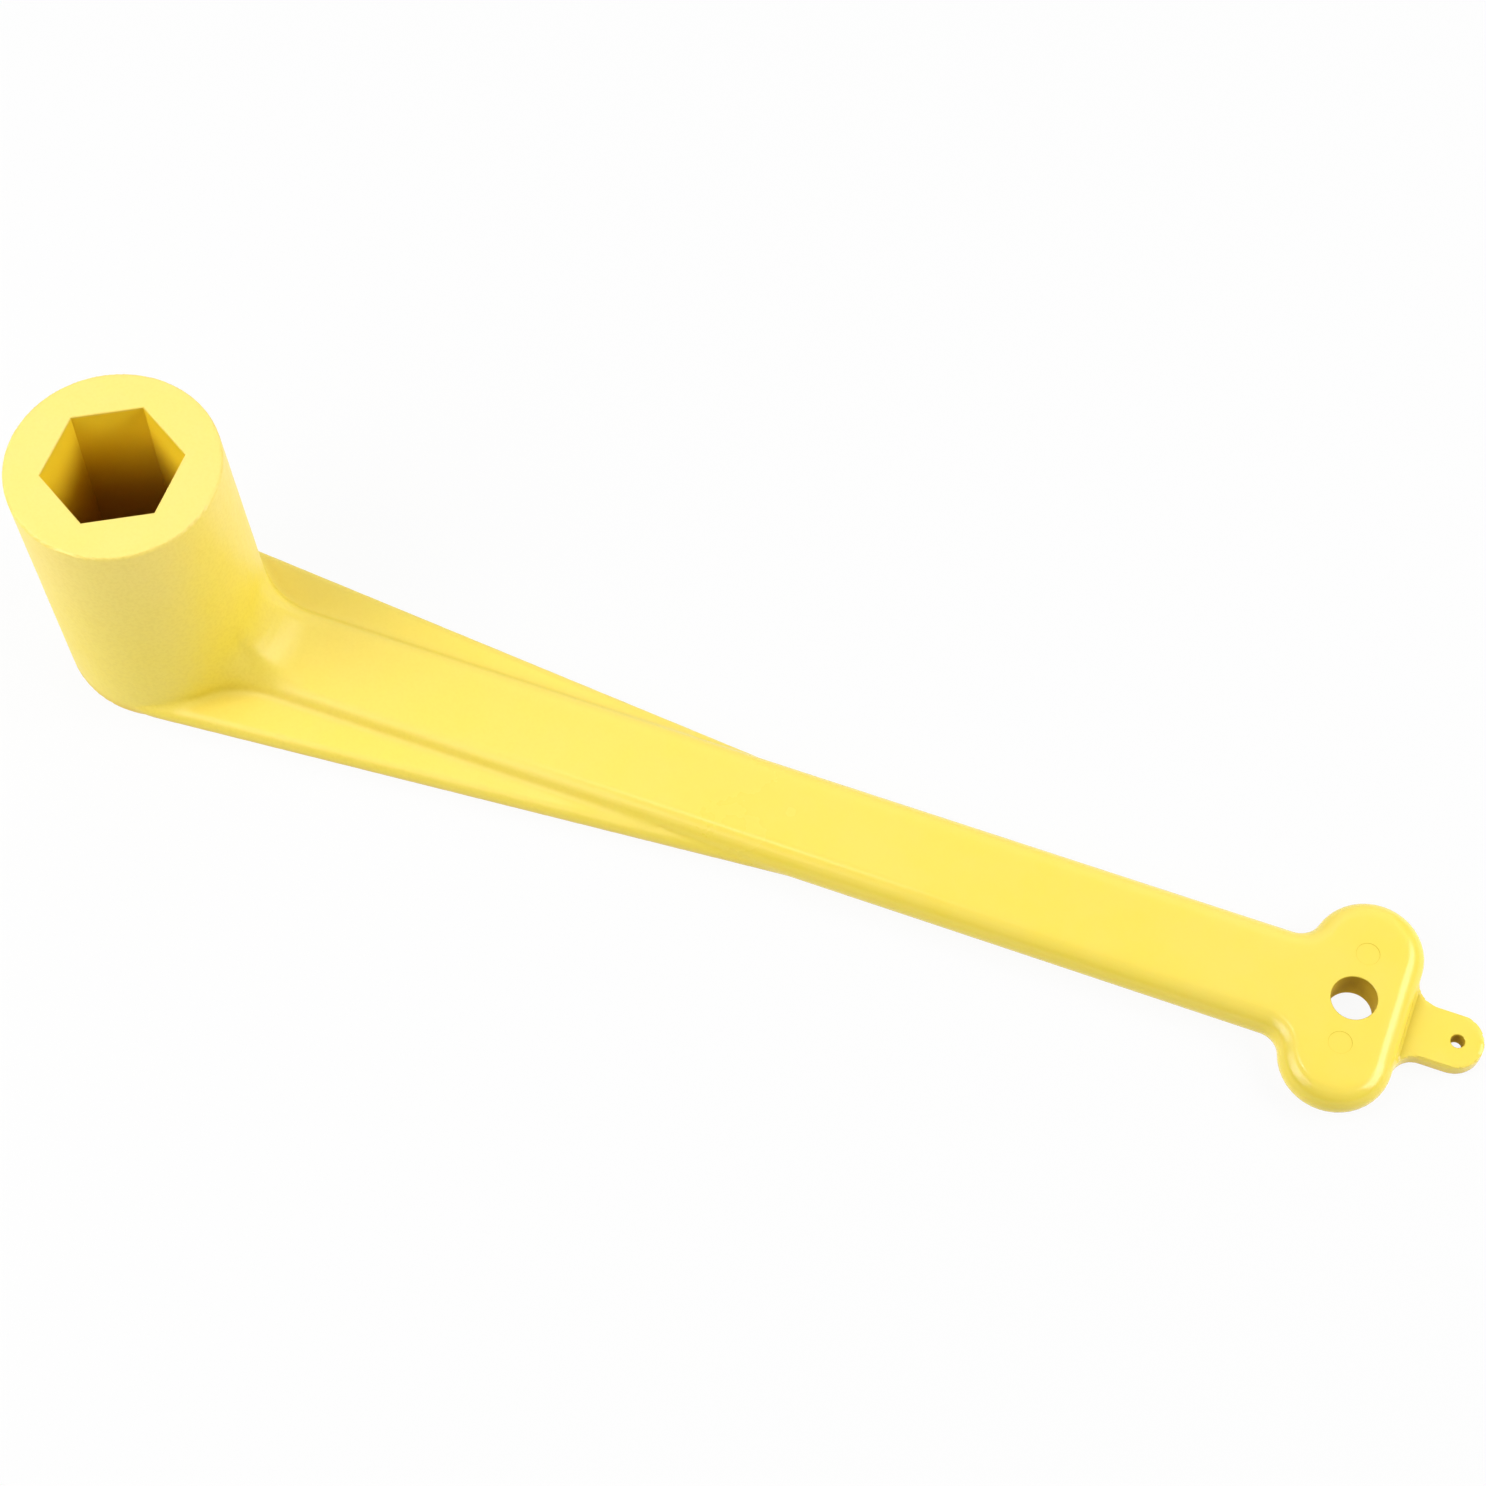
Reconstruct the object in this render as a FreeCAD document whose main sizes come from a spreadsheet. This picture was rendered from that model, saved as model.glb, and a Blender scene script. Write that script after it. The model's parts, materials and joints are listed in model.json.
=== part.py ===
import FreeCAD, Part
import math
import os
import Sketcher

# Hex socket wrench: one plastic moulding, made of a solid skin around a cellular core.
# Frame: origin on the socket's axis in the plane of the flat underside, +X along the handle,
# +Z out of the mouth of the socket. Millimetres.

DOC = FreeCAD.newDocument("hex_socket_wrench")
ORIGIN = FreeCAD.Vector(0, 0, 0)
UP = FreeCAD.Vector(0, 0, 1)
EDGE_TOLERANCE = 0.001              # an edge this close to a height lies at it
WALL_TOLERANCE = 0.03               # a point this close to the head's wall lies on it
LEVEL_TOLERANCE = 0.01              # play when edges are sorted by height
CLEAR = 0.1                         # edges of an end that another solid swallows stay sharp

# ---------------------------------------------------------------- driving dimensions
SIZES = {
    "across_flats": 27.0,           # hexagonal socket
    "socket_floor": 8.6,            # closed bottom of the socket
    "head_height": 66.45,
    "mouth_radius": 23.52,          # outside of the head at its mouth
    "base_radius": 23.8,            # outside of the head at the underside
    "base_shift": 3.85,             # the head leans back from the handle by this much
    "head_rim_round": 0.6,
    "underside_round": 0.8,         # lower edge of the head
    "thickness": 8.6,               # handle and T-end
    "root_half_width": 12.0,        # handle, at the socket's axis
    "neck_half_width": 12.25,       # handle, where the T-end begins
    "upper_round": 4.6,             # upper edges of the handle and the T-end
    "lower_round": 3.5,             # lower edges of the handle and the T-end
    "blend_radius": 16.0,           # sweep of the handle up into the head
    "neck_radius": 5.0,             # inside corner between handle and T-end, in plan
    "lobe_radius": 12.4,            # rounded ends of the T
    "lobe_offset": 12.45,           # lobe centre from the wrench's centre line
    "tee_centre": 282.85,           # hanging hole and lobes, from the socket's axis
    "hang_hole_radius": 5.0,
    "flange_thickness": 5.3,
    "flange_upper_round": 2.5,      # its upper edges
    "flange_lower_round": 2.2,      # its lower edges
    "flange_centre": 8.85,          # the flange's side lines touch this circle,
    "flange_radius": 24.0,          # which leaves the head's side at a small angle
    "flange_slope": 0.083,          # they close in by this much per mm
    "flange_end": 190.0,            # the flange has vanished into the handle here
    "tab_thickness": 4.3,
    "tab_radius": 6.45,             # half width and rounded end
    "tab_end_centre": 305.75,
    "tab_hole_centre": 306.45,
    "tab_hole_radius": 1.5,
    "tab_root_radius": 4.8,         # fillets in plan, where the tab meets the T-end
    "tab_upper_round": 0.3,
    "tab_lower_round": 1.2,
    "ejector_mark_radius": 2.6,     # two witness marks on the T-end's upper face
    "ejector_mark_depth": 0.12,
    "ejector_mark_spacing": 11.0,   # each from the centre line
    "skin_wall": 2.2,               # solid skin over the core
    "core_inset": 3.2,              # core's outline inside the handle's rounded edges
}


def make_sheet():
    sheet = DOC.addObject("Spreadsheet::Sheet", "sizes")
    for row, (alias, value) in enumerate(SIZES.items(), start=1):
        sheet.set(f"A{row}", alias)
        sheet.set(f"B{row}", str(value))
        sheet.setAlias(f"B{row}", alias)
    DOC.recompute()
    return sheet


SHEET = make_sheet()


def size(alias):
    return float(SHEET.get(alias))


# ---------------------------------------------------------------- helpers
def new_body(label):
    return DOC.addObject("PartDesign::Body", label)


def new_sketch(body, name, height=None):
    """A sketch on the body's XY plane, raised to a height given as an expression."""
    sketch = body.newObject("Sketcher::SketchObject", name)
    plane = next(f for f in body.Origin.OriginFeatures if f.Role == "XY_Plane")
    sketch.AttachmentSupport = [(plane, "")]
    sketch.MapMode = "FlatFace"
    if height:
        sketch.setExpression("AttachmentOffset.Base.z", height)
    return sketch


def bind(sketch, kind, *args, value=1.0, name="", expression=""):
    """Add a dimension to a sketch and drive it from the sheet."""
    index = sketch.addConstraint(Sketcher.Constraint(kind, *args, value))
    sketch.renameConstraint(index, name)
    sketch.setExpression(f"Constraints.{name}", expression)


def pad(body, name, sketch, length):
    feature = body.newObject("PartDesign::Pad", name)
    feature.Profile = sketch
    feature.setExpression("Length", length)
    DOC.recompute()
    return feature


def edges_at(shape, height, right_of=-math.inf, left_end_before=math.inf):
    """Names of the edges that lie flat at a height, within limits along X."""
    names = []
    for number, edge in enumerate(shape.Edges, start=1):
        box = edge.BoundBox
        flat = abs(box.ZMin - height) < EDGE_TOLERANCE and abs(box.ZMax - height) < EDGE_TOLERANCE
        if flat and box.XMax > right_of and box.XMin < left_end_before:
            names.append(f"Edge{number}")
    return names


def round_edges(body, name, radius, base, names):
    feature = body.newObject("PartDesign::Fillet", name)
    feature.Base = (base, names)
    feature.setExpression("Radius", radius)
    DOC.recompute()
    return feature


def round_both_faces(body, name, plate, radii, thickness, **limits):
    """Round a plate's lower edges, then its upper ones; radii are two of the sheet's cells."""
    result = plate
    for side, radius, height in (("lower", radii[0], 0.0), ("upper", radii[1], thickness)):
        names = edges_at(result.Shape, height, **limits)
        result = round_edges(body, f"{name}_{side}_edges", f"sizes.{radius}", result, names)


def mirrored(point):
    return FreeCAD.Vector(point.x, -point.y, 0)


# ---------------------------------------------------------------- handle and T-end
def ccw_arc(centre, radius, start, end):
    """An arc that runs anticlockwise from the direction of start to that of end."""
    angles = [math.atan2(p.y - centre.y, p.x - centre.x) for p in (start, end)]
    if angles[1] < angles[0]:
        angles[1] += 2 * math.pi
    return Part.ArcOfCircle(Part.Circle(centre, UP, radius), *angles)


def join_ends(sketch, chain, corners=()):
    """Join curves end to end, tangent except at the corners: (curve, entry, exit) each."""
    for first, second in zip(chain, chain[1:] + chain[:1]):
        kind = "Coincident" if (first[0], second[0]) in corners else "Tangent"
        sketch.addConstraint(Sketcher.Constraint(kind, first[0], first[2], second[0], second[1]))


def handle_outline(body, name, inset=None, height=None):
    """Plan of the handle and T-end; inset is the sheet's cell that shrinks it all round."""
    sketch = new_sketch(body, name, height)
    shrink = size(inset) if inset else 0.0
    less = f" - sizes.{inset}" if inset else ""
    more = f" + sizes.{inset}" if inset else ""
    lobe_radius = size("lobe_radius") - shrink
    neck_radius = size("neck_radius") + shrink
    half_width = size("neck_half_width") - shrink

    # lower half of the outline, near enough for the solver to finish
    root = FreeCAD.Vector(0, shrink - size("root_half_width"), 0)
    lobe = FreeCAD.Vector(size("tee_centre"), -size("lobe_offset"), 0)
    reach = math.sqrt((neck_radius + lobe_radius) ** 2 - (half_width + neck_radius + lobe.y) ** 2)
    neck = FreeCAD.Vector(lobe.x - reach, -half_width - neck_radius, 0)
    side_end = neck + FreeCAD.Vector(0, neck_radius, 0)
    lobe_start = neck + (lobe - neck).normalize() * neck_radius
    lobe_end = lobe + FreeCAD.Vector(lobe_radius, 0, 0)

    outline = [
        Part.LineSegment(root, side_end),
        ccw_arc(neck, neck_radius, lobe_start, side_end),
        ccw_arc(lobe, lobe_radius, lobe_start, lobe_end),
        Part.LineSegment(lobe_end, mirrored(lobe_end)),
        ccw_arc(mirrored(lobe), lobe_radius, mirrored(lobe_end), mirrored(lobe_start)),
        ccw_arc(mirrored(neck), neck_radius, mirrored(side_end), mirrored(lobe_start)),
        Part.LineSegment(mirrored(side_end), mirrored(root)),
        Part.LineSegment(mirrored(root), root),
    ]
    near_side, near_neck, near_lobe, end_face, far_lobe, far_neck, far_side, root_line = (
        sketch.addGeometry(curve) for curve in outline)
    join_ends(
        sketch,
        [(near_side, 1, 2), (near_neck, 2, 1), (near_lobe, 1, 2), (end_face, 1, 2),
         (far_lobe, 1, 2), (far_neck, 2, 1), (far_side, 1, 2), (root_line, 1, 2)],
        corners=[(far_side, root_line), (root_line, near_side)])
    sketch.addConstraint(Sketcher.Constraint("PointOnObject", root_line, 1, -2))
    sketch.addConstraint(Sketcher.Constraint("PointOnObject", root_line, 2, -2))

    halves = [("near", -1, near_lobe, near_neck, (near_side, 2), (root_line, 2)),
              ("far", 1, far_lobe, far_neck, (far_side, 1), (root_line, 1))]
    for half, sign, lobe_arc, neck_arc, side_point, root_point in halves:
        bind(sketch, "DistanceX", -1, 1, lobe_arc, 3, value=lobe.x,
             name=f"{half}_lobe_x", expression="sizes.tee_centre")
        bind(sketch, "DistanceY", -1, 1, lobe_arc, 3, value=-sign * lobe.y,
             name=f"{half}_lobe_y", expression=f"{sign} * sizes.lobe_offset")
        bind(sketch, "Radius", lobe_arc, value=lobe_radius,
             name=f"{half}_lobe_radius", expression=f"sizes.lobe_radius{less}")
        bind(sketch, "Radius", neck_arc, value=neck_radius,
             name=f"{half}_neck_radius", expression=f"sizes.neck_radius{more}")
        bind(sketch, "DistanceY", -1, 1, *side_point, value=-sign * side_end.y,
             name=f"{half}_side", expression=f"{sign} * (sizes.neck_half_width{less})")
        bind(sketch, "DistanceY", -1, 1, *root_point, value=-sign * root.y,
             name=f"{half}_root", expression=f"{sign} * (sizes.root_half_width{less})")
    return sketch


def handle_form():
    body = new_body("handle_form")
    bar = pad(body, "bar", handle_outline(body, "bar_plan"), "sizes.thickness")
    round_both_faces(body, "bar", bar, ("lower_round", "upper_round"), size("thickness"),
                     right_of=CLEAR)
    return body


# ---------------------------------------------------------------- head
def leaning_wall(name, inset=None, bottom="0", top="sizes.head_height"):
    """The head leans back: its lower circle is set forward of its upper one."""
    less = f" - sizes.{inset}" if inset else ""
    circles = []
    for level, shift, radius, height in (
            ("base", "sizes.base_shift", "sizes.base_radius", bottom),
            ("mouth", "0", "sizes.mouth_radius", top)):
        circle = DOC.addObject("Part::Circle", f"{name}_{level}")
        circle.setExpression("Radius", radius + less)
        circle.setExpression("Placement.Base.x", shift)
        circle.setExpression("Placement.Base.z", height)
        circles.append(circle)
    wall = DOC.addObject("Part::Loft", name)
    wall.Sections = circles
    wall.Solid = True
    wall.Ruled = True
    DOC.recompute()
    return wall


def head_form():
    wall = leaning_wall("head_wall")
    head = DOC.addObject("Part::Fillet", "head_form")
    head.Base = wall
    rims = [("head_rim_round", size("head_height")), ("underside_round", 0.0)]
    head.Edges = [(int(name[len("Edge"):]), size(radius), size(radius))
                  for radius, height in rims for name in edges_at(wall.Shape, height)]
    return head


# ---------------------------------------------------------------- flange
def flange_form():
    """Flat plate that spreads from the handle's sides to the width of the head."""
    body = new_body("flange_form")
    sketch = new_sketch(body, "flange_plan")
    radius, slope, end_x = size("flange_radius"), size("flange_slope"), size("flange_end")
    centre = FreeCAD.Vector(size("flange_centre"), 0, 0)
    lean = math.atan(slope)
    touch = centre + FreeCAD.Vector(math.sin(lean), math.cos(lean), 0) * radius
    end = FreeCAD.Vector(end_x, touch.y - slope * (end_x - touch.x), 0)
    back, near_side, end_line, far_side = (
        sketch.addGeometry(curve) for curve in [
            ccw_arc(centre, radius, touch, mirrored(touch)),
            Part.LineSegment(mirrored(touch), mirrored(end)),
            Part.LineSegment(mirrored(end), end),
            Part.LineSegment(end, touch)])
    join_ends(sketch, [(back, 1, 2), (near_side, 1, 2), (end_line, 1, 2), (far_side, 1, 2)],
              corners=[(near_side, end_line), (end_line, far_side)])
    sketch.addConstraint(Sketcher.Constraint("PointOnObject", back, 3, -1))
    bind(sketch, "DistanceX", -1, 1, back, 3, value=centre.x, name="centre",
         expression="sizes.flange_centre")
    bind(sketch, "Radius", back, value=radius, name="radius", expression="sizes.flange_radius")
    bind(sketch, "DistanceX", -1, 1, end_line, 1, value=end_x, name="near_end",
         expression="sizes.flange_end")
    bind(sketch, "DistanceX", -1, 1, end_line, 2, value=end_x, name="far_end",
         expression="sizes.flange_end")
    for name, line, turn in (("near_lean", near_side, lean), ("far_lean", far_side, -lean)):
        sign = 1 if turn > 0 else -1
        bind(sketch, "Angle", line, value=turn if sign > 0 else math.pi + turn, name=name,
             expression="atan(sizes.flange_slope)" if sign > 0 else
             "180 deg - atan(sizes.flange_slope)")
    plate = pad(body, "plate", sketch, "sizes.flange_thickness")
    round_both_faces(body, "plate", plate, ("flange_lower_round", "flange_upper_round"),
                     size("flange_thickness"), left_end_before=size("flange_end") - CLEAR)
    return body


# ---------------------------------------------------------------- tab
def tab_form():
    """Thin tab past the T-end, with its two root fillets in plan."""
    body = new_body("tab_form")
    sketch = new_sketch(body, "tab_plan")
    radius, root = size("tab_radius"), size("tab_root_radius")
    face_x = size("tee_centre") + size("lobe_radius")
    inside_x = face_x - size("lower_round")
    tip = FreeCAD.Vector(size("tab_end_centre"), 0, 0)
    tip_start = tip - FreeCAD.Vector(0, radius, 0)
    flare = FreeCAD.Vector(face_x + root, -radius - root, 0)
    flare_end = flare + FreeCAD.Vector(0, root, 0)
    flare_start = flare - FreeCAD.Vector(root, 0, 0)
    corner = FreeCAD.Vector(inside_x, flare.y, 0)
    curves = [
        Part.LineSegment(corner, flare_start),
        ccw_arc(flare, root, flare_end, flare_start),
        Part.LineSegment(flare_end, tip_start),
        ccw_arc(tip, radius, tip_start, mirrored(tip_start)),
        Part.LineSegment(mirrored(tip_start), mirrored(flare_end)),
        ccw_arc(mirrored(flare), root, mirrored(flare_start), mirrored(flare_end)),
        Part.LineSegment(mirrored(flare_start), mirrored(corner)),
        Part.LineSegment(mirrored(corner), corner),
    ]
    step, near_flare, near_edge, end_arc, far_edge, far_flare, far_step, back = (
        sketch.addGeometry(curve) for curve in curves)
    join_ends(
        sketch,
        [(step, 1, 2), (near_flare, 2, 1), (near_edge, 1, 2), (end_arc, 1, 2),
         (far_edge, 1, 2), (far_flare, 2, 1), (far_step, 1, 2), (back, 1, 2)],
        corners=[(step, near_flare), (far_flare, far_step), (far_step, back), (back, step)])
    sketch.addConstraint(Sketcher.Constraint("PointOnObject", end_arc, 3, -1))
    for line in (step, near_edge, far_step):
        sketch.addConstraint(Sketcher.Constraint("Horizontal", line))
    sketch.addConstraint(Sketcher.Constraint("Vertical", back))
    bind(sketch, "DistanceX", -1, 1, end_arc, 3, value=tip.x, name="tip",
         expression="sizes.tab_end_centre")
    bind(sketch, "Radius", end_arc, value=radius, name="radius", expression="sizes.tab_radius")
    bind(sketch, "DistanceX", -1, 1, back, 1, value=inside_x, name="inside",
         expression="sizes.tee_centre + sizes.lobe_radius - sizes.lower_round")
    for half, sign, flare_arc, step_line, end in (
            ("near", -1, near_flare, step, 2), ("far", 1, far_flare, far_step, 1)):
        bind(sketch, "Radius", flare_arc, value=root, name=f"{half}_flare",
             expression="sizes.tab_root_radius")
        bind(sketch, "DistanceX", -1, 1, flare_arc, 3, value=flare.x, name=f"{half}_flare_x",
             expression="sizes.tee_centre + sizes.lobe_radius + sizes.tab_root_radius")
        bind(sketch, "DistanceY", -1, 1, step_line, end, value=-sign * flare.y,
             name=f"{half}_step", expression=f"{sign} * (sizes.tab_radius + sizes.tab_root_radius)")
    plate = pad(body, "tab_plate", sketch, "sizes.tab_thickness")
    round_both_faces(body, "tab", plate, ("tab_lower_round", "tab_upper_round"),
                     size("tab_thickness"), right_of=face_x + CLEAR)
    return body


# ---------------------------------------------------------------- holes and marks
def cylinder(name, radius, height, centre_x, centre_y="0", base="0"):
    tool = DOC.addObject("Part::Cylinder", name)
    tool.setExpression("Radius", radius)
    tool.setExpression("Height", height)
    tool.setExpression("Placement.Base.x", centre_x)
    tool.setExpression("Placement.Base.y", centre_y)
    tool.setExpression("Placement.Base.z", base)
    return tool


def hexagon(name, across_flats, floor):
    """Hexagonal prism from a floor up past the mouth, with two flats facing along X."""
    sides = 6
    half_side_turn = 180 / sides
    tool = DOC.addObject("Part::Prism", name)
    tool.Polygon = sides
    tool.Placement = FreeCAD.Placement(ORIGIN, FreeCAD.Rotation(UP, half_side_turn))
    tool.setExpression("Circumradius", f"({across_flats}) / sqrt(3)")
    tool.setExpression("Height", "sizes.head_height")
    tool.setExpression("Placement.Base.z", floor)
    return tool


def openings():
    """Tools for the socket, the two through holes and the ejector marks."""
    tools = [hexagon("socket_hex", "sizes.across_flats", "sizes.socket_floor")]
    for name in ("hang", "tab"):
        centre = "sizes.tee_centre" if name == "hang" else "sizes.tab_hole_centre"
        tools.append(cylinder(f"{name}_hole_tool", f"sizes.{name}_hole_radius",
                              "3 * sizes.thickness", centre, base="-sizes.thickness"))
    for side, sign in (("near", -1), ("far", 1)):
        tools.append(cylinder(f"{side}_ejector_mark", "sizes.ejector_mark_radius",
                              "sizes.thickness", "sizes.tee_centre",
                              f"{sign} * sizes.ejector_mark_spacing",
                              "sizes.thickness - sizes.ejector_mark_depth"))
    return tools


# ---------------------------------------------------------------- whole outside form
def on_head(point):
    """Whether a point is on the leaning wall of the head."""
    drop = 1 - point.z / size("head_height")
    centre_x = size("base_shift") * drop
    radius = size("mouth_radius") + (size("base_radius") - size("mouth_radius")) * drop
    return abs(math.hypot(point.x - centre_x, point.y) - radius) < WALL_TOLERANCE


def handle_root_edges(shape):
    """Edges where the handle's rounded top runs into the head, above the flange."""
    samples = 7
    found = []
    for number, edge in enumerate(shape.Edges, start=1):
        points = edge.discretize(samples)
        lowest = min(p.z for p in points)
        highest = max(p.z for p in points)
        above_flange = lowest > size("flange_thickness") - LEVEL_TOLERANCE
        below_handle_top = highest < size("thickness") + LEVEL_TOLERANCE
        level_with_flange = highest < size("flange_thickness") + LEVEL_TOLERANCE
        if (above_flange and below_handle_top and not level_with_flange
                and all(on_head(p) for p in points)):
            found.append(number)
    return found


def outside_form():
    solid = DOC.addObject("Part::MultiFuse", "joined_form")
    solid.Shapes = [head_form(), flange_form(), handle_form(), tab_form()]
    solid.Refine = True
    DOC.recompute()
    blend = DOC.addObject("Part::Fillet", "handle_blend")
    blend.Base = solid
    radius = size("blend_radius")
    blend.Edges = [(number, radius, radius) for number in handle_root_edges(solid.Shape)]
    tools = DOC.addObject("Part::MultiFuse", "opening_tools")
    tools.Shapes = openings()
    cut = DOC.addObject("Part::Cut", "outside_form")
    cut.Base = blend
    cut.Tool = tools
    DOC.recompute()
    return cut


# ---------------------------------------------------------------- core and skin
def foamed_core():
    """Cellular middle of the moulding: inside the head's wall, the handle and the T-end."""
    wall = leaning_wall("core_wall", "skin_wall", "sizes.skin_wall",
                        "sizes.head_height - sizes.skin_wall")
    body = new_body("core_bar")
    plan = handle_outline(body, "core_plan", inset="core_inset", height="sizes.skin_wall")
    pad(body, "core_bar_pad", plan, "sizes.thickness - 2 * sizes.skin_wall")
    form = DOC.addObject("Part::MultiFuse", "core_form")
    form.Shapes = [wall, body]
    core = DOC.addObject("Part::Cut", "foamed_core")
    core.Base = form
    socket = hexagon("core_hex", "sizes.across_flats + 2 * sizes.skin_wall",
                     "sizes.socket_floor - sizes.skin_wall")
    boss = cylinder("core_hang_hole", "sizes.hang_hole_radius + sizes.skin_wall",
                    "sizes.thickness", "sizes.tee_centre")
    tools = DOC.addObject("Part::MultiFuse", "core_tools")
    tools.Shapes = [socket, boss]
    core.Tool = tools
    return core


def moulded_skin(outside, core):
    skin = DOC.addObject("Part::Cut", "moulded_skin")
    skin.Base = outside
    skin.Tool = core
    return skin


# ---------------------------------------------------------------- build, test and write
def check_document():
    for item in DOC.Objects:
        failed = {"Invalid", "Error"} & set(item.State)
        if failed:
            raise RuntimeError(f"{item.Name}: {sorted(failed)}")


def check_shape(part):
    shape = part.Shape
    if shape.isNull() or not shape.isValid() or len(shape.Solids) != 1:
        raise RuntimeError(f"{part.Label} is not one valid solid")
    print(f"{part.Label}: {shape.Volume / 1000:.2f} cm3, {shape.BoundBox}")


core_part = foamed_core()
skin_part = moulded_skin(outside_form(), core_part)
DOC.recompute()
check_document()
os.makedirs("parts", exist_ok=True)
for part in (skin_part, core_part):
    check_shape(part)
    part.Shape.exportStep(f"parts/{part.Label}.step")
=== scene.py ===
import json
import math

import bmesh
import bpy
import numpy as np
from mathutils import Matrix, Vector
from mathutils.bvhtree import BVHTree
from mathutils.kdtree import KDTree


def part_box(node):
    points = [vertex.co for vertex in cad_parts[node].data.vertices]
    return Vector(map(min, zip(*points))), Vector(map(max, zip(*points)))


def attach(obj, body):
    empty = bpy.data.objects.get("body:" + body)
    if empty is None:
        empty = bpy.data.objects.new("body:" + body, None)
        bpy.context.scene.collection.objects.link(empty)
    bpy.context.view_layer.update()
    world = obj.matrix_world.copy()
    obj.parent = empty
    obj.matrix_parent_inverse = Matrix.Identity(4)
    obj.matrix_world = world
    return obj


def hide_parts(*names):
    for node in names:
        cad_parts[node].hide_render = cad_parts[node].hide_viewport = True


# Hex socket wrench, moulded in yellow plastic: the skin's looks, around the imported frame.
# Metres, in the frame of the CAD model: origin under the socket, +X along the handle, +Z up.

MM = 0.001
ACROSS_FLATS = 27.0 * MM            # hexagonal socket
SOCKET_FLOOR = 8.6 * MM
PLATE_TOP = 8.6 * MM                # upper face of the handle and the T-end
FLANGE_TOP = 5.3 * MM
MARK_RADIUS = 2.6 * MM              # ejector marks, beside the hanging hole
MARK_SPACING = 11.0 * MM
MARK_DEPTH = 0.08 * MM
RIM_CHAMFER = 0.2 * MM              # broken edges of the socket's mouth and the holes
GRID = 0.65 * MM                    # spacing of the new mesh's points
FOOT_REACH = 2.8 * MM               # the foot's inside corner is softened this far each way,
FOOT_EXTRA = 0.6 * MM               # and this much further beside the head
FOOT_ROUNDS = 14
ROUND_SIDES = 96

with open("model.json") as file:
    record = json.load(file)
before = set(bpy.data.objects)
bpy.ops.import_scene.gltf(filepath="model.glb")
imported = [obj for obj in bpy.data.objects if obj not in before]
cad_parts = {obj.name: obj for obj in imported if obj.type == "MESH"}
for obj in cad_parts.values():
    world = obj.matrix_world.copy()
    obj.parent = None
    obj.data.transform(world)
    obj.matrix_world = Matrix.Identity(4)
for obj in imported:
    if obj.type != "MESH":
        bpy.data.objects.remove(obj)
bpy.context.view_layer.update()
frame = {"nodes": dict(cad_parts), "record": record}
mounts = {mount["name"]: mount for mount in frame["record"]["mounts"]}
head_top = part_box("moulded_skin")[1].z


# ---------------------------------------------------------------- mesh helpers
def column(target, centre, sides, turn, rings):
    """Adds a closed column to a bmesh: polygons of given (height, corner radius), joined."""
    loops = []
    for height, radius in rings:
        loops.append([target.verts.new((
            centre[0] + radius * math.cos(turn + 2 * math.pi * k / sides),
            centre[1] + radius * math.sin(turn + 2 * math.pi * k / sides),
            height)) for k in range(sides)])
    for lower, upper in zip(loops, loops[1:]):
        for k in range(sides):
            after = (k + 1) % sides
            target.faces.new((lower[k], lower[after], upper[after], upper[k]))
    target.faces.new(reversed(loops[0]))
    target.faces.new(loops[-1])


def new_object(name, source):
    """A linked object from a bmesh, which is freed."""
    mesh = bpy.data.meshes.new(name)
    source.to_mesh(mesh)
    source.free()
    obj = bpy.data.objects.new(name, mesh)
    bpy.context.scene.collection.objects.link(obj)
    return obj


def apply_modifiers(obj):
    """Bakes the object's modifiers into its mesh."""
    bpy.context.view_layer.update()
    graph = bpy.context.evaluated_depsgraph_get()
    mesh = bpy.data.meshes.new_from_object(obj.evaluated_get(graph))
    obj.modifiers.clear()
    obj.data = mesh


def points_of(mesh):
    flat = np.empty(3 * len(mesh.vertices))
    mesh.vertices.foreach_get("co", flat)
    return flat.reshape(-1, 3)


def smoothstep(value, low, high):
    t = np.clip((value - low) / (high - low), 0, 1)
    return t * t * (3 - 2 * t)


def tree_of(points):
    tree = KDTree(len(points))
    for index, point in enumerate(points):
        tree.insert(point, index)
    tree.balance()
    return tree


# ---------------------------------------------------------------- the skin's outside
def outer_shell(node):
    """The CAD node's outside as a bmesh, without the inner wall around the core."""
    shell = bmesh.new()
    shell.from_mesh(frame["nodes"][node].data)
    bmesh.ops.remove_doubles(shell, verts=shell.verts, dist=0.001 * MM)
    start = min(shell.verts, key=lambda v: v.co.z)
    outside, front = {start}, [start]
    while front:
        for edge in front.pop().link_edges:
            for vert in edge.verts:
                if vert not in outside:
                    outside.add(vert)
                    front.append(vert)
    inner = [vert for vert in shell.verts if vert not in outside]
    bmesh.ops.delete(shell, geom=inner, context="VERTS")
    return shell


def hex_radius(across_flats):
    return across_flats / math.sqrt(3)


def holes():
    """Centre, radius and top of the two round holes, from the record's mounts."""
    found = []
    for name in ("hang_hole", "tab_hole"):
        place, dims = mounts[name]["pos_m"], mounts[name]["dims"]
        found.append((place, dims["r_mm"] * MM, dims["length_mm"] * MM))
    return found


def mark_centres():
    centre = mounts["hang_hole"]["pos_m"]
    return [(centre[0], side * MARK_SPACING) for side in (-1, 1)]


def plug_openings(shell):
    """Fills the socket, the holes and the marks flush, so that the outside is one plain form."""
    over = 0.5 * MM
    column(shell, (0, 0), 6, math.pi / 6, [
        (SOCKET_FLOOR - over, hex_radius(ACROSS_FLATS) + over),
        (head_top, hex_radius(ACROSS_FLATS) + over)])
    for centre, radius, top in holes():
        column(shell, centre, ROUND_SIDES, 0, [(0, radius + over), (top, radius + over)])
    for centre in mark_centres():
        column(shell, centre, ROUND_SIDES, 0, [
            (PLATE_TOP - 2 * over, MARK_RADIUS + over), (PLATE_TOP, MARK_RADIUS + over)])


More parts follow.
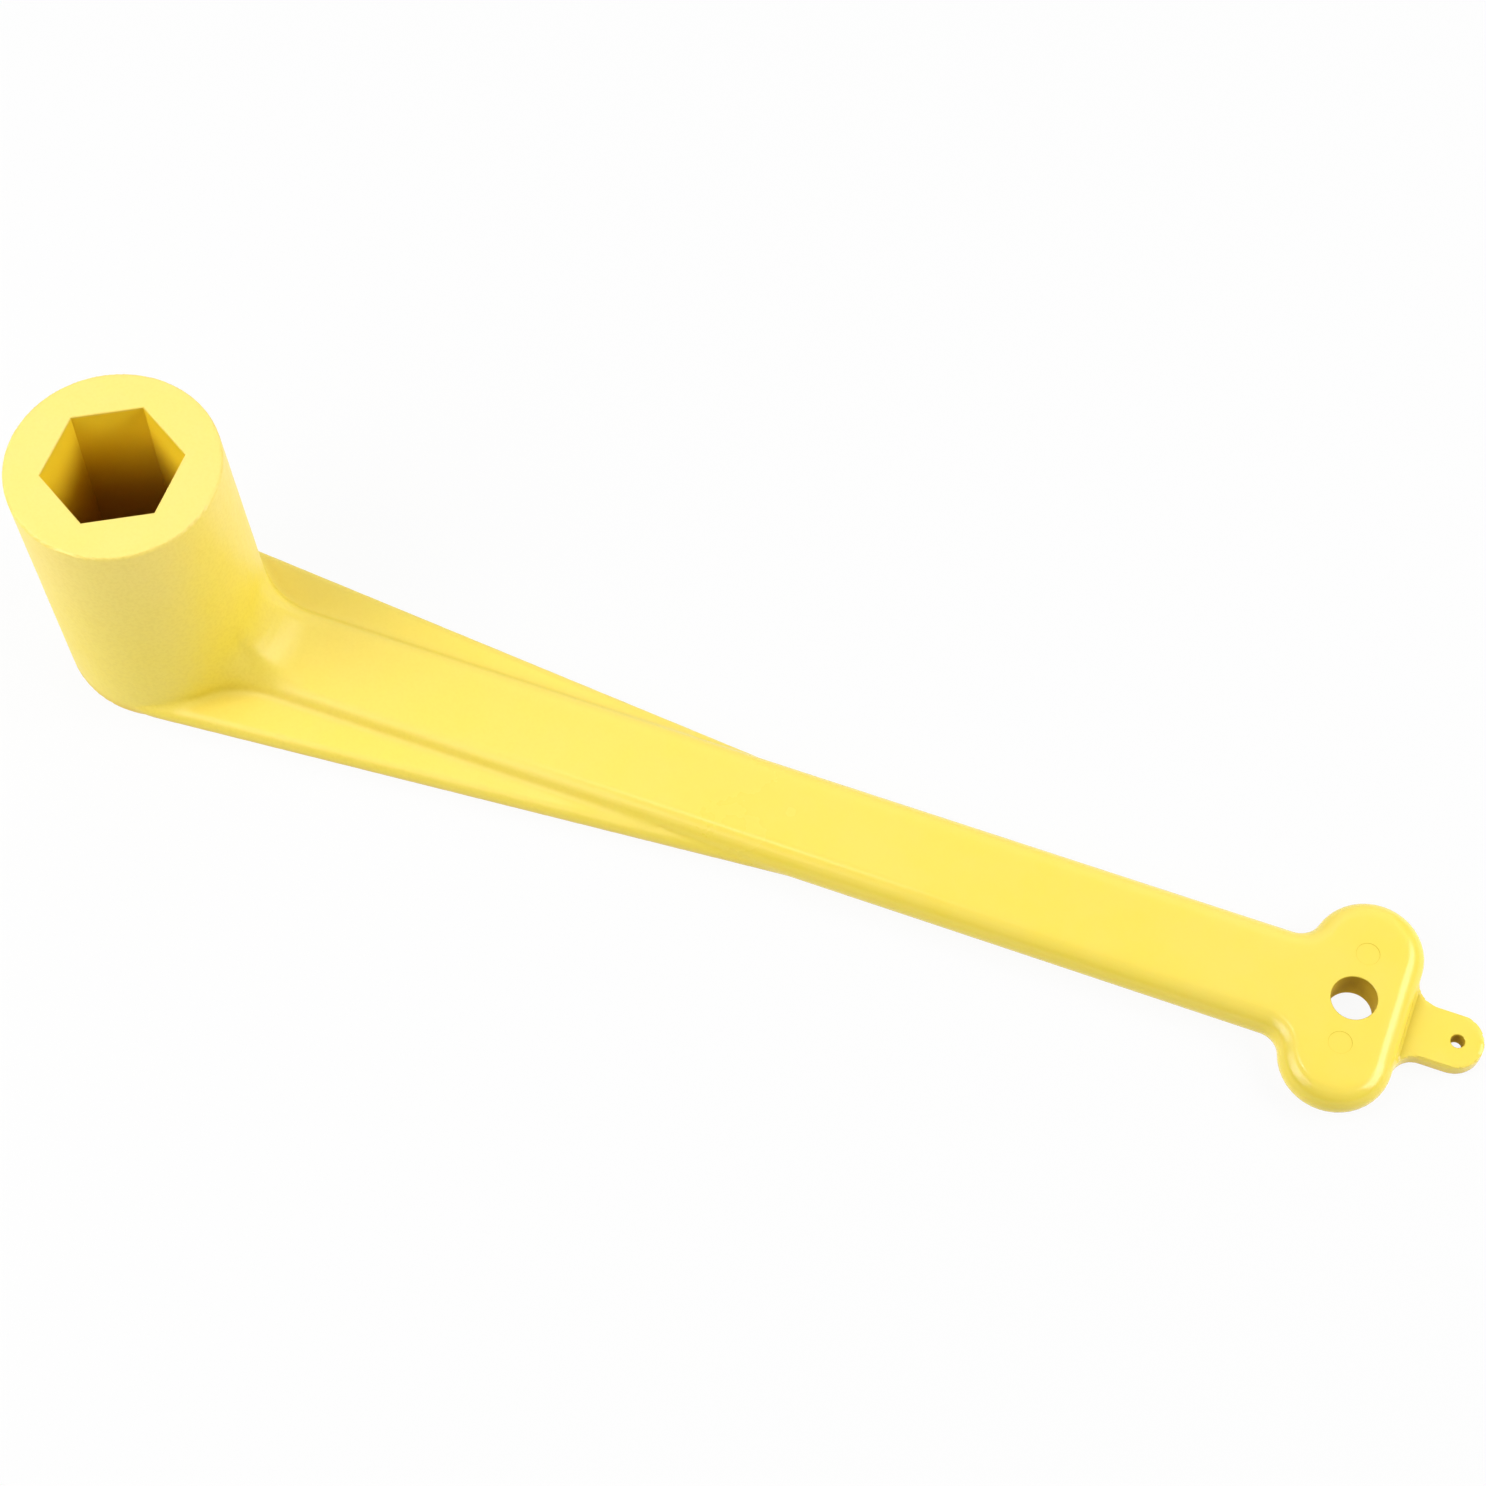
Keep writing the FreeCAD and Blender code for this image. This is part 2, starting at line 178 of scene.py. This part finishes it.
def foot_line(shell):
    """Points along the inside corner where the head and the handle meet the flange."""
    step = 0.2 * MM
    spots = []
    for edge in shell.edges:
        ends = [vert.co for vert in edge.verts]
        level = all(abs(end.z - FLANGE_TOP) < 0.02 * MM for end in ends)
        if level and edge.is_manifold and edge.calc_face_angle_signed() < -math.radians(8):
            count = max(2, round((ends[1] - ends[0]).length / step))
            spots += [ends[0].lerp(ends[1], k / count) for k in range(count + 1)]
    return spots


def relax(mesh, weight, rounds):
    """Moves each point towards its neighbours' mean, as far as its weight says."""
    pairs = np.empty(2 * len(mesh.edges), int)
    mesh.edges.foreach_get("vertices", pairs)
    first, second = pairs.reshape(-1, 2).T
    points = points_of(mesh)
    count = np.bincount(pairs, minlength=len(points))[:, None]
    for _ in range(rounds):
        total = np.zeros_like(points)
        for axis in range(3):
            total[:, axis] += np.bincount(first, points[second, axis], len(points))
            total[:, axis] += np.bincount(second, points[first, axis], len(points))
        points += 0.5 * weight[:, None] * (total / count - points)
    mesh.vertices.foreach_set("co", points.ravel())
    mesh.update()


def soften_foot(mesh, spots):
    """Rounds the inside corner at the foot of the head and the handle."""
    points = points_of(mesh)
    foot = tree_of(spots)
    away = np.array([foot.find(point)[2] for point in points])
    near_head = 1 - smoothstep(points[:, 0], 40 * MM, 90 * MM)
    reach = FOOT_REACH + FOOT_EXTRA * near_head
    weight = 1 - smoothstep(away / reach, 0.3, 1.0)
    relax(mesh, weight, FOOT_ROUNDS)


def even_mesh(shell):
    """The plugged shell as one even mesh that follows it exactly, with a soft foot."""
    spots = foot_line(shell)
    exact = BVHTree.FromBMesh(shell)
    skin = new_object("skin", shell)
    remesh = skin.modifiers.new("grid", "REMESH")
    remesh.mode = "VOXEL"
    remesh.voxel_size = GRID
    apply_modifiers(skin)
    points = points_of(skin.data)
    for index, point in enumerate(points):
        points[index] = exact.find_nearest(Vector(point))[0]
    skin.data.vertices.foreach_set("co", points.ravel())
    soften_foot(skin.data, spots)
    return skin


def cutters():
    """The socket, the holes and the marks as solids to cut; the socket and the holes with a broken
    rim.
    """
    tool = bmesh.new()
    above = 5 * MM
    corner = hex_radius(ACROSS_FLATS)
    column(tool, (0, 0), 6, math.pi / 6, [
        (SOCKET_FLOOR, corner), (head_top - RIM_CHAMFER, corner),
        (head_top + above, corner + RIM_CHAMFER + above)])
    for centre, radius, top in holes():
        column(tool, centre, ROUND_SIDES, 0, [
            (-above, radius + RIM_CHAMFER + above), (RIM_CHAMFER, radius),
            (top - RIM_CHAMFER, radius), (top + above, radius + RIM_CHAMFER + above)])
    for centre in mark_centres():
        column(tool, centre, ROUND_SIDES, 0, [
            (PLATE_TOP - MARK_DEPTH, MARK_RADIUS), (PLATE_TOP + above, MARK_RADIUS)])
    return new_object("cutters", tool)


def moulded_skin():
    shell = outer_shell("moulded_skin")
    plug_openings(shell)
    skin = even_mesh(shell)
    tool = cutters()
    cut = skin.modifiers.new("cut", "BOOLEAN")
    cut.operation = "DIFFERENCE"
    cut.solver = "EXACT"
    cut.use_self = False
    cut.object = tool
    apply_modifiers(skin)
    bpy.data.objects.remove(tool)
    skin.data.shade_smooth()
    skin.data.set_sharp_from_angle(angle=math.radians(35))
    skin.name = "skin"
    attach(skin, "root")
    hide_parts("moulded_skin")
    return skin


# ---------------------------------------------------------------- materials
class Nodes:
    """Adds nodes to one material and links them; any input may be a number or a socket."""

    def __init__(self, name):
        self.material = bpy.data.materials.new(name)
        self.material.use_nodes = True
        self.tree = self.material.node_tree
        self.shader = self.tree.nodes["Principled BSDF"]
        self.place = self.add("ShaderNodeTexCoord").outputs["Object"]
        split = self.add("ShaderNodeSeparateXYZ", Vector=self.place)
        self.x, self.y, self.z = split.outputs

    def add(self, kind, **values):
        node = self.tree.nodes.new(kind)
        for name, value in values.items():
            self.put(node.inputs[name.replace("_", " ")], value)
        return node

    def put(self, socket, value):
        if isinstance(value, bpy.types.NodeSocket):
            self.tree.links.new(value, socket)
        else:
            socket.default_value = value

    def calc(self, operation, *values):
        """A Math node's result."""
        node = self.add("ShaderNodeMath")
        node.operation = operation
        for socket, value in zip(node.inputs, values):
            self.put(socket, value)
        return node.outputs[0]

    def ramp(self, value, low, high, start=0.0, end=1.0):
        """Goes smoothly from start to end while value goes from low to high."""
        node = self.add("ShaderNodeMapRange", Value=value, From_Min=low, From_Max=high,
                        To_Min=start, To_Max=end)
        node.interpolation_type = "SMOOTHSTEP"
        return node.outputs["Result"]

    def noise(self, size, detail=2.0):
        """Noise about a middle of 0.5, with grains about size across."""
        node = self.add("ShaderNodeTexNoise", Vector=self.place, Scale=1 / size, Detail=detail)
        return node.outputs["Fac"]

    def blend(self, amount, first, second):
        """Two colours blended by an amount: all first at 0, all second at 1."""
        node = self.tree.nodes.new("ShaderNodeMix")
        node.data_type = "RGBA"
        for index, value in ((0, amount), (6, first), (7, second)):
            self.put(node.inputs[index], value)
        return node.outputs[2]

    def inside(self, centre, radius):
        """1 on walls nearer than the radius to an upright line through the centre, else 0."""
        offset = self.calc("SUBTRACT", self.x, centre[0])
        aside = self.calc("SUBTRACT", self.y, centre[1])
        square = self.calc("ADD", self.calc("MULTIPLY", offset, offset),
                           self.calc("MULTIPLY", aside, aside))
        return self.calc("LESS_THAN", square, radius * radius)


SHADED_WALL_YELLOW = (0.92, 0.725, 0.062, 1)    # painted shade: a deeper copy of the yellow for upright walls
LIT_TOP_YELLOW = (0.91, 0.725, 0.20, 1)     # painted light: a paler, sheen-like copy for the mouth, and part of every face that looks up
GRAIN_YELLOW = (0.70, 0.49, 0.02, 1)     # the dark of the grain
LOW_SHADE_YELLOW = (0.78, 0.53, 0.015, 1)      # painted shade: upright and lower faces, close to the underside
CORNER_SHADE_YELLOW = (0.66, 0.475, 0.008, 1)  # painted shade in the inside corners
SOCKET_SHADE_ORANGE = (0.97, 0.71, 0.03, 1)    # painted shade on the socket's walls, just inside the mouth
SOCKET_SHADE_BROWN = (0.42, 0.205, 0.004, 1)   # and darker painted shade deep down
HOLE_SHADE_BROWN = (0.48, 0.31, 0.0, 1)        # painted shade on the holes' walls
FOAM_CELL = (0.72, 0.52, 0.06, 1)        # the core: inside its cells
FOAM_WALL = (0.93, 0.80, 0.25, 1)        # and between them
SOCKET_MARGIN = 0.5 * MM                 # the painted shade reaches this far past the socket's corners
HOLE_MARGIN = 0.08 * MM                  # and past a hole's wall


def plastic():
    """Satin yellow plastic: mottled and finely grained, most of all on the head's walls, with
    painted light and painted shade in its colour.
    """
    nodes = Nodes("yellow_plastic")
    grain = nodes.noise(0.8 * MM, 4.0)
    mottle = nodes.noise(6.0 * MM, 3.0)
    cloud = nodes.noise(30.0 * MM, 2.0)
    surface = nodes.add("ShaderNodeNewGeometry").outputs["Normal"]
    facing_up = nodes.add("ShaderNodeSeparateXYZ", Vector=surface).outputs["Z"]
    near_head = nodes.ramp(nodes.x, 200 * MM, 30 * MM, 0.15, 1.0)
    upright = nodes.ramp(facing_up, 0.98, 0.4, 0.4, 1.0)
    coarse = nodes.calc("MULTIPLY", near_head, upright)

    # Painted light: faces that look up, and the mouth most of all, are blended towards the paler
    # copy; the mottle and cloud add random tone.
    lit_paleness_and_mottle = nodes.ramp(facing_up, 0.1, 0.97, 0.02, 0.38)
    lit_paleness_and_mottle = nodes.calc("ADD", lit_paleness_and_mottle, nodes.ramp(nodes.z, PLATE_TOP, head_top, 0.0, 0.5))
    lit_paleness_and_mottle = nodes.calc("ADD", lit_paleness_and_mottle, nodes.ramp(mottle, 0.3, 0.7, -0.03, 0.03))
    lit_paleness_and_mottle = nodes.calc("ADD", lit_paleness_and_mottle, nodes.ramp(cloud, 0.3, 0.7, -0.06, 0.06))
    colour = nodes.blend(lit_paleness_and_mottle, SHADED_WALL_YELLOW, LIT_TOP_YELLOW)
    speckle = nodes.calc("MULTIPLY", coarse, nodes.ramp(grain, 0.60, 0.35, 0.0, 0.14))
    colour = nodes.blend(speckle, colour, GRAIN_YELLOW)

    # Painted shade: upright and down-facing faces darken towards the bottom.
    low = nodes.calc("MULTIPLY", nodes.ramp(nodes.z, 4.0 * MM, 0.5 * MM),
                    nodes.ramp(facing_up, 0.4, -0.2))
    colour = nodes.blend(low, colour, LOW_SHADE_YELLOW)

    # Painted shade: the inside corners, found by occlusion, are darkened.
    open_sky = nodes.add("ShaderNodeAmbientOcclusion", Distance=5 * MM)
    open_sky.only_local = True
    corner_shade = nodes.ramp(open_sky.outputs["AO"], 0.97, 0.5, 0.0, 1.0)
    colour = nodes.blend(corner_shade, colour, CORNER_SHADE_YELLOW)

    # Painted shade: the socket's walls darken, orange and then brown, with depth.
    in_socket = nodes.inside((0, 0), hex_radius(ACROSS_FLATS) + SOCKET_MARGIN)
    socket_wall = nodes.calc("MULTIPLY", in_socket, nodes.ramp(facing_up, 0.9, 0.5))
    for depths, socket_shade in (((0, 1), SOCKET_SHADE_ORANGE), ((5, 38), SOCKET_SHADE_BROWN)):
        shallow, deep = (head_top - depth * MM for depth in depths)
        amount = nodes.calc("MULTIPLY", socket_wall, nodes.ramp(nodes.z, shallow, deep))
        colour = nodes.blend(amount, colour, socket_shade)
    roughness = nodes.ramp(nodes.x, 200 * MM, 40 * MM, 0.22, 0.42)
    roughness = nodes.calc("ADD", roughness, nodes.ramp(mottle, 0.3, 0.7, -0.02, 0.02))
    # Painted shade: the holes' walls are darkened to brown.
    for centre, radius, _ in holes():
        in_hole = nodes.inside(centre, radius + HOLE_MARGIN)
        colour = nodes.blend(in_hole, colour, HOLE_SHADE_BROWN)
        roughness = nodes.calc("MAXIMUM", roughness, in_hole)
    nodes.put(nodes.shader.inputs["Base Color"], colour)
    nodes.put(nodes.shader.inputs["Roughness"], roughness)

    relief = nodes.calc("MULTIPLY", coarse, nodes.calc("ADD", grain, mottle))
    bump = nodes.add("ShaderNodeBump", Height=relief, Distance=0.03 * MM)
    nodes.put(nodes.shader.inputs["Normal"], bump.outputs["Normal"])
    nodes.shader.inputs["Subsurface Weight"].default_value = 0.08
    nodes.shader.inputs["Subsurface Radius"].default_value = (1.0, 0.55, 0.12)
    nodes.shader.inputs["Subsurface Scale"].default_value = 1.2 * MM
    return nodes.material


def foam():
    """The cellular core: pale yellow with closed cells of about a millimetre."""
    nodes = Nodes("foamed_plastic")
    cells = nodes.add("ShaderNodeTexVoronoi", Vector=nodes.place, Scale=1 / (0.9 * MM))
    wall = nodes.ramp(cells.outputs["Distance"], 0.15, 0.6)
    nodes.put(nodes.shader.inputs["Base Color"],
              nodes.blend(wall, FOAM_CELL, FOAM_WALL))
    nodes.put(nodes.shader.inputs["Roughness"], nodes.ramp(nodes.noise(2 * MM), 0.3, 0.7, 0.6, 0.8))
    bump = nodes.add("ShaderNodeBump", Height=wall, Distance=0.25 * MM, Strength=0.8)
    nodes.put(nodes.shader.inputs["Normal"], bump.outputs["Normal"])
    return nodes.material


def dress(obj, material):
    obj.data.materials.clear()
    obj.data.materials.append(material)


# ---------------------------------------------------------------- floor, light and camera
def make_floor():
    """A white sheet under the wrench that glows evenly, so that it hardly shows a shadow."""
    half, level = 12.0, -0.1 * MM
    plan = bmesh.new()
    corners = [(-half, -half), (half, -half), (half, half), (-half, half)]
    plan.faces.new([plan.verts.new((x, y, level)) for x, y in corners])
    floor = new_object("floor", plan)
    material = bpy.data.materials.new("white_sheet")
    material.use_nodes = True
    shader = material.node_tree.nodes["Principled BSDF"]
    shader.inputs["Base Color"].default_value = (0.05, 0.05, 0.05, 1)
    shader.inputs["Roughness"].default_value = 1.0
    shader.inputs["Specular IOR Level"].default_value = 0.0
    shader.inputs["Emission Color"].default_value = (1, 1, 1, 1)
    shader.inputs["Emission Strength"].default_value = 0.93
    dress(floor, material)


def soft_box(name, azimuth, elevation, distance, width, radiance):
    """A square lamp that faces the wrench's middle, as bright to look at as its radiance."""
    middle = Vector((0.145, 0, 0.02))
    turn, rise = math.radians(azimuth), math.radians(elevation)
    direction = Vector((math.cos(rise) * math.cos(turn), math.cos(rise) * math.sin(turn),
                        math.sin(rise)))
    data = bpy.data.lights.new(name, "AREA")
    data.size = width
    data.energy = radiance * math.pi * width * width
    lamp = bpy.data.objects.new(name, data)
    lamp.location = middle + direction * distance
    lamp.rotation_euler = (-direction).to_track_quat("-Z", "Y").to_euler()
    bpy.context.scene.collection.objects.link(lamp)


def make_light():
    world = bpy.data.worlds.new("world")
    world.use_nodes = True
    background = world.node_tree.nodes["Background"]
    background.inputs["Color"].default_value = (1, 1, 1, 1)
    background.inputs["Strength"].default_value = 0.05
    bpy.context.scene.world = world
    bpy.context.scene.view_settings.view_transform = "Standard"
    soft_box("front_left_box", 225, 40, 0.8, 0.6, 2.25)
    soft_box("left_box", 203, 40, 0.8, 0.6, 2.7)
    soft_box("back_left_box", 132, 54, 0.9, 0.6, 0.5)
    soft_box("back_box", 100, 32, 0.95, 1.0, 0.85)
    soft_box("back_right_box", 35, 40, 1.1, 0.5, 5.1)
    soft_box("right_box", 5, 30, 1.1, 0.6, 5.4)
    soft_box("overhead_lamp", 153, 77, 1.2, 0.12, 22.0)


def make_camera():
    data = bpy.data.cameras.new("camera")
    data.lens = 84.87
    data.sensor_width = 36.0
    data.clip_start = 0.01
    camera = bpy.data.objects.new("camera", data)
    camera.location = (0.26811, -0.33191, 0.69597)
    camera.rotation_euler = [math.radians(angle) for angle in (28.1675, 0.1262, 20.3773)]
    bpy.context.scene.collection.objects.link(camera)
    bpy.context.scene.camera = camera


make_camera()
make_light()
make_floor()
skin = moulded_skin()
dress(skin, plastic())
dress(frame["nodes"]["foamed_core"], foam())
